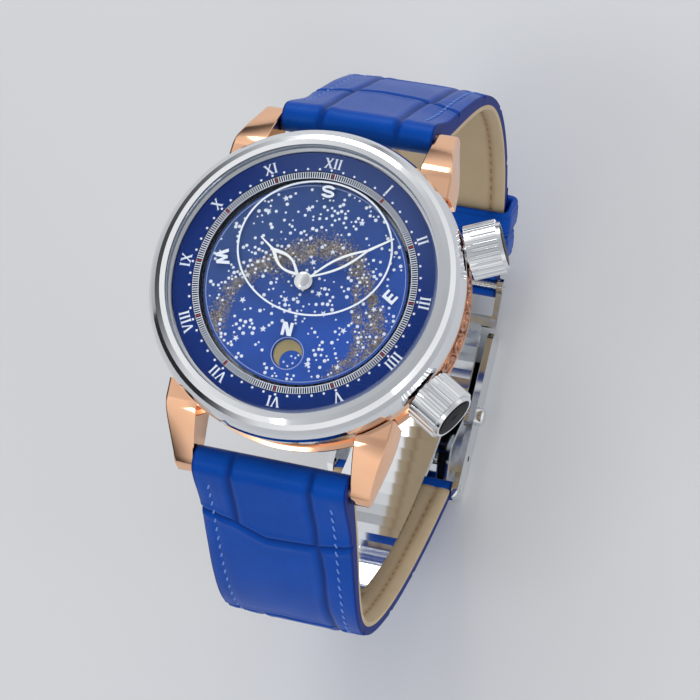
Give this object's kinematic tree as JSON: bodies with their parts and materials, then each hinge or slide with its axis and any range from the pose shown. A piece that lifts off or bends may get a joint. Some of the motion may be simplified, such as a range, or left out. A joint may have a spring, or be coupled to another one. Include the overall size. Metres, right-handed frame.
{
  "type": "wristwatch",
  "caption": "Round wristwatch with a turning star disc, moon window, geared hands, two crowns, leather strap halves and a folding clasp that opens.",
  "frame": {"origin": "on the flat outer face of the clasp cover, straight below the centre of the dial", "axes": "+X towards 3 o'clock, +Y towards 12 o'clock, +Z out of the dial; the watch is closed and stands on its clasp, dial up"},
  "size_m": [0.0471, 0.0842, 0.0845],
  "materials": {
    "polished_steel": "polished",
    "plain_steel": "satin",
    "rose_gold_plated_steel": "polished",
    "sapphire": "clear",
    "gasket": "satin",
    "dial_blue": "lacquered",
    "sky_blue": "lacquered",
    "white_paint": "satin",
    "crown_inlay": "gloss",
    "nickel_plate": "striped satin",
    "brass": "satin",
    "blued_steel": "polished",
    "ruby": "clear red",
    "blue_leather": "glossy, grained",
    "tan_lining": "matt, suede side"
  },
  "bodies": {
    "case": {"case_middle": "rose_gold_plated_steel", "bezel": "polished_steel", "crystal": "sapphire", "crystal_gasket": "gasket", "movement_ring": "plain_steel", "case_back": "plain_steel", "case_back_glass": "sapphire", "case_back_screws": "plain_steel", "crown_tubes": "plain_steel", "lug_spring_bars": "plain_steel", "dial": "dial_blue", "horizon_glass": "sapphire", "main_plate": "nickel_plate", "train_bridge": "nickel_plate", "pallet_bridge": "nickel_plate", "balance_cock": "nickel_plate", "movement_screws": "blued_steel", "jewels": "ruby", "rotor_bearing": "plain_steel"},
    "strap_6": {"strap_6_leather": "blue_leather", "strap_6_lining": "tan_lining"},
    "strap_12": {"strap_12_leather": "blue_leather", "strap_12_lining": "tan_lining", "fixed_keeper": "blue_leather"},
    "floating_keeper": {"floating_keeper": "blue_leather"},
    "clasp_cover": {"clasp_cover": "polished_steel", "cover_pins": "plain_steel"},
    "left_button": {"left_button": "polished_steel"},
    "right_button": {"right_button": "polished_steel"},
    "middle_blade": {"middle_blade": "polished_steel", "fold_pin": "plain_steel"},
    "base_blade": {"base_blade": "polished_steel", "end_bar": "plain_steel"},
    "winding_stem": {"winding_stem": "plain_steel"},
    "time_crown": {"time_crown": "polished_steel", "time_crown_cap": "crown_inlay"},
    "sky_stem": {"sky_stem": "plain_steel"},
    "sky_crown": {"sky_crown": "polished_steel", "sky_crown_cap": "crown_inlay"},
    "rotor": {"rotor": "brass"},
    "centre_wheel": {"centre_wheel": "brass"},
    "minute_hand": {"cannon_pinion": "plain_steel", "minute_hand": "white_paint", "hand_cap": "polished_steel"},
    "minute_wheel": {"minute_wheel": "brass"},
    "hour_hand": {"hour_wheel": "brass", "hour_hand": "white_paint"},
    "sky_drive_wheel": {"sky_drive_wheel": "brass"},
    "star_disc": {"star_disc": "sky_blue"},
    "moon_disc": {"moon_disc": "dial_blue"},
    "barrel": {"barrel": "brass", "mainspring": "plain_steel"},
    "third_wheel": {"third_wheel": "brass"},
    "fourth_wheel": {"fourth_wheel": "brass"},
    "escape_wheel": {"escape_wheel": "plain_steel"},
    "pallet_fork": {"pallet_fork": "plain_steel"},
    "balance": {"balance_wheel": "brass", "hairspring": "blued_steel"},
    "ratchet_wheel": {"ratchet_wheel": "plain_steel"},
    "crown_wheel": {"crown_wheel": "plain_steel"}
  },
  "joints": [
    {"name": "strap_6_swing", "type": "hinge", "parent": "case", "child": "strap_6", "pos_m": [0, -0.025, 0.0737], "axis": [1, 0, 0], "range_deg": [-24, 0]},
    {"name": "strap_12_swing", "type": "hinge", "parent": "case", "child": "strap_12", "pos_m": [0, 0.025, 0.0737], "axis": [1, 0, 0], "range_deg": [0, 18]},
    {"name": "clasp_cover_turn", "type": "hinge", "parent": "strap_6", "child": "clasp_cover", "pos_m": [0, -0.0099, 0.0031], "axis": [1, 0, 0], "range_deg": [0, 24]},
    {"name": "middle_blade_turn", "type": "hinge", "parent": "clasp_cover", "child": "middle_blade", "pos_m": [0, -0.0044, 0.00225], "axis": [1, 0, 0], "range_deg": [-74.58, 0]},
    {"name": "clasp_unfold", "type": "hinge", "parent": "middle_blade", "child": "base_blade", "pos_m": [0, -0.03352, 0.03391], "axis": [1, 0, 0], "range_deg": [0, 72.78]},
    {"name": "left_button_push", "type": "slide", "parent": "clasp_cover", "child": "left_button", "axis": [1, 0, 0], "range_m": [0, 0.0008], "stiffness_N_per_m": 300},
    {"name": "right_button_push", "type": "slide", "parent": "clasp_cover", "child": "right_button", "axis": [-1, 0, 0], "range_m": [0, 0.0008], "stiffness_N_per_m": 300},
    {"name": "floating_keeper_slide", "type": "hinge", "parent": "strap_12", "child": "floating_keeper", "pos_m": [0, 0.01205, 0.03349], "axis": [1, 0, 0], "range_deg": [0, 4]},
    {"name": "time_stem_turn", "type": "hinge", "parent": "case", "child": "winding_stem", "pos_m": [0, 0, 0.0777], "axis": [0.866, -0.5, 0], "continuous": true},
    {"name": "time_crown_pull", "type": "slide", "parent": "winding_stem", "child": "time_crown", "axis": [0.866, -0.5, 0], "range_m": [0, 0.0012]},
    {"name": "sky_stem_turn", "type": "hinge", "parent": "case", "child": "sky_stem", "pos_m": [0, 0, 0.0777], "axis": [0.9135, 0.4067, 0], "continuous": true},
    {"name": "sky_crown_pull", "type": "slide", "parent": "sky_stem", "child": "sky_crown", "axis": [0.9135, 0.4067, 0], "range_m": [0, 0.0012]},
    {"name": "rotor_spin", "type": "hinge", "parent": "case", "child": "rotor", "pos_m": [0, 0, 0.073], "axis": [0, 0, 1], "continuous": true},
    {"name": "centre_wheel_turn", "type": "hinge", "parent": "case", "child": "centre_wheel", "pos_m": [0, 0, 0.077], "axis": [0, 0, 1], "continuous": true},
    {"name": "minute_hand_turn", "type": "hinge", "parent": "case", "child": "minute_hand", "pos_m": [0, 0, 0.082], "axis": [0, 0, 1], "continuous": true},
    {"name": "minute_wheel_turn", "type": "hinge", "parent": "case", "child": "minute_wheel", "pos_m": [-0.00361, -0.00131, 0.0795], "axis": [0, 0, 1], "continuous": true},
    {"name": "hour_hand_turn", "type": "hinge", "parent": "case", "child": "hour_hand", "pos_m": [0, 0, 0.082], "axis": [0, 0, 1], "continuous": true},
    {"name": "sky_drive_wheel_turn", "type": "hinge", "parent": "case", "child": "sky_drive_wheel", "pos_m": [0.0024, 0.00416, 0.08], "axis": [0, 0, 1], "continuous": true},
    {"name": "star_disc_turn", "type": "hinge", "parent": "case", "child": "star_disc", "pos_m": [0, 0, 0.081], "axis": [0, 0, 1], "continuous": true},
    {"name": "moon_disc_turn", "type": "hinge", "parent": "case", "child": "moon_disc", "pos_m": [0, 0, 0.0808], "axis": [0, 0, 1], "continuous": true},
    {"name": "barrel_turn", "type": "hinge", "parent": "case", "child": "barrel", "pos_m": [0.00131, -0.00745, 0.077], "axis": [0, 0, 1], "continuous": true},
    {"name": "third_wheel_turn", "type": "hinge", "parent": "case", "child": "third_wheel", "pos_m": [0.00442, 0.0031, 0.077], "axis": [0, 0, 1], "continuous": true},
    {"name": "fourth_wheel_turn", "type": "hinge", "parent": "case", "child": "fourth_wheel", "pos_m": [0.00241, 0.00741, 0.077], "axis": [0, 0, 1], "continuous": true},
    {"name": "escape_wheel_turn", "type": "hinge", "parent": "case", "child": "escape_wheel", "pos_m": [-0.00221, 0.00741, 0.077], "axis": [0, 0, 1], "continuous": true},
    {"name": "pallet_fork_rock", "type": "hinge", "parent": "case", "child": "pallet_fork", "pos_m": [-0.00446, 0.00583, 0.077], "axis": [0, 0, 1], "range_deg": [-3, 3]},
    {"name": "balance_swing", "type": "hinge", "parent": "case", "child": "balance", "pos_m": [-0.00677, 0.00308, 0.077], "axis": [0, 0, 1], "range_deg": [-220, 220]},
    {"name": "ratchet_wheel_turn", "type": "hinge", "parent": "case", "child": "ratchet_wheel", "pos_m": [0.00131, -0.00745, 0.077], "axis": [0, 0, 1], "continuous": true},
    {"name": "crown_wheel_turn", "type": "hinge", "parent": "case", "child": "crown_wheel", "pos_m": [0.00762, -0.0044, 0.077], "axis": [0, 0, 1], "continuous": true}
  ],
  "couplings": [
    {"joint": "strap_6_swing", "follows": "clasp_unfold", "ratio": -0.32976},
    {"joint": "strap_12_swing", "follows": "clasp_unfold", "ratio": 0.24732},
    {"joint": "clasp_cover_turn", "follows": "clasp_unfold", "ratio": 0.32976},
    {"joint": "middle_blade_turn", "follows": "clasp_unfold", "ratio": -1.0247},
    {"joint": "minute_hand_turn", "follows": "centre_wheel_turn", "ratio": 1},
    {"joint": "minute_wheel_turn", "follows": "centre_wheel_turn", "ratio": -0.33333},
    {"joint": "hour_hand_turn", "follows": "centre_wheel_turn", "ratio": 0.083333},
    {"joint": "sky_drive_wheel_turn", "follows": "centre_wheel_turn", "ratio": -0.041667},
    {"joint": "star_disc_turn", "follows": "centre_wheel_turn", "ratio": 0.041667},
    {"joint": "moon_disc_turn", "follows": "centre_wheel_turn", "ratio": 0.038333},
    {"joint": "barrel_turn", "follows": "centre_wheel_turn", "ratio": -0.16667},
    {"joint": "third_wheel_turn", "follows": "centre_wheel_turn", "ratio": -8},
    {"joint": "fourth_wheel_turn", "follows": "centre_wheel_turn", "ratio": 60},
    {"joint": "escape_wheel_turn", "follows": "centre_wheel_turn", "ratio": -600},
    {"joint": "crown_wheel_turn", "follows": "time_stem_turn", "ratio": 0.7},
    {"joint": "ratchet_wheel_turn", "follows": "time_stem_turn", "ratio": -0.38889}
  ]
}
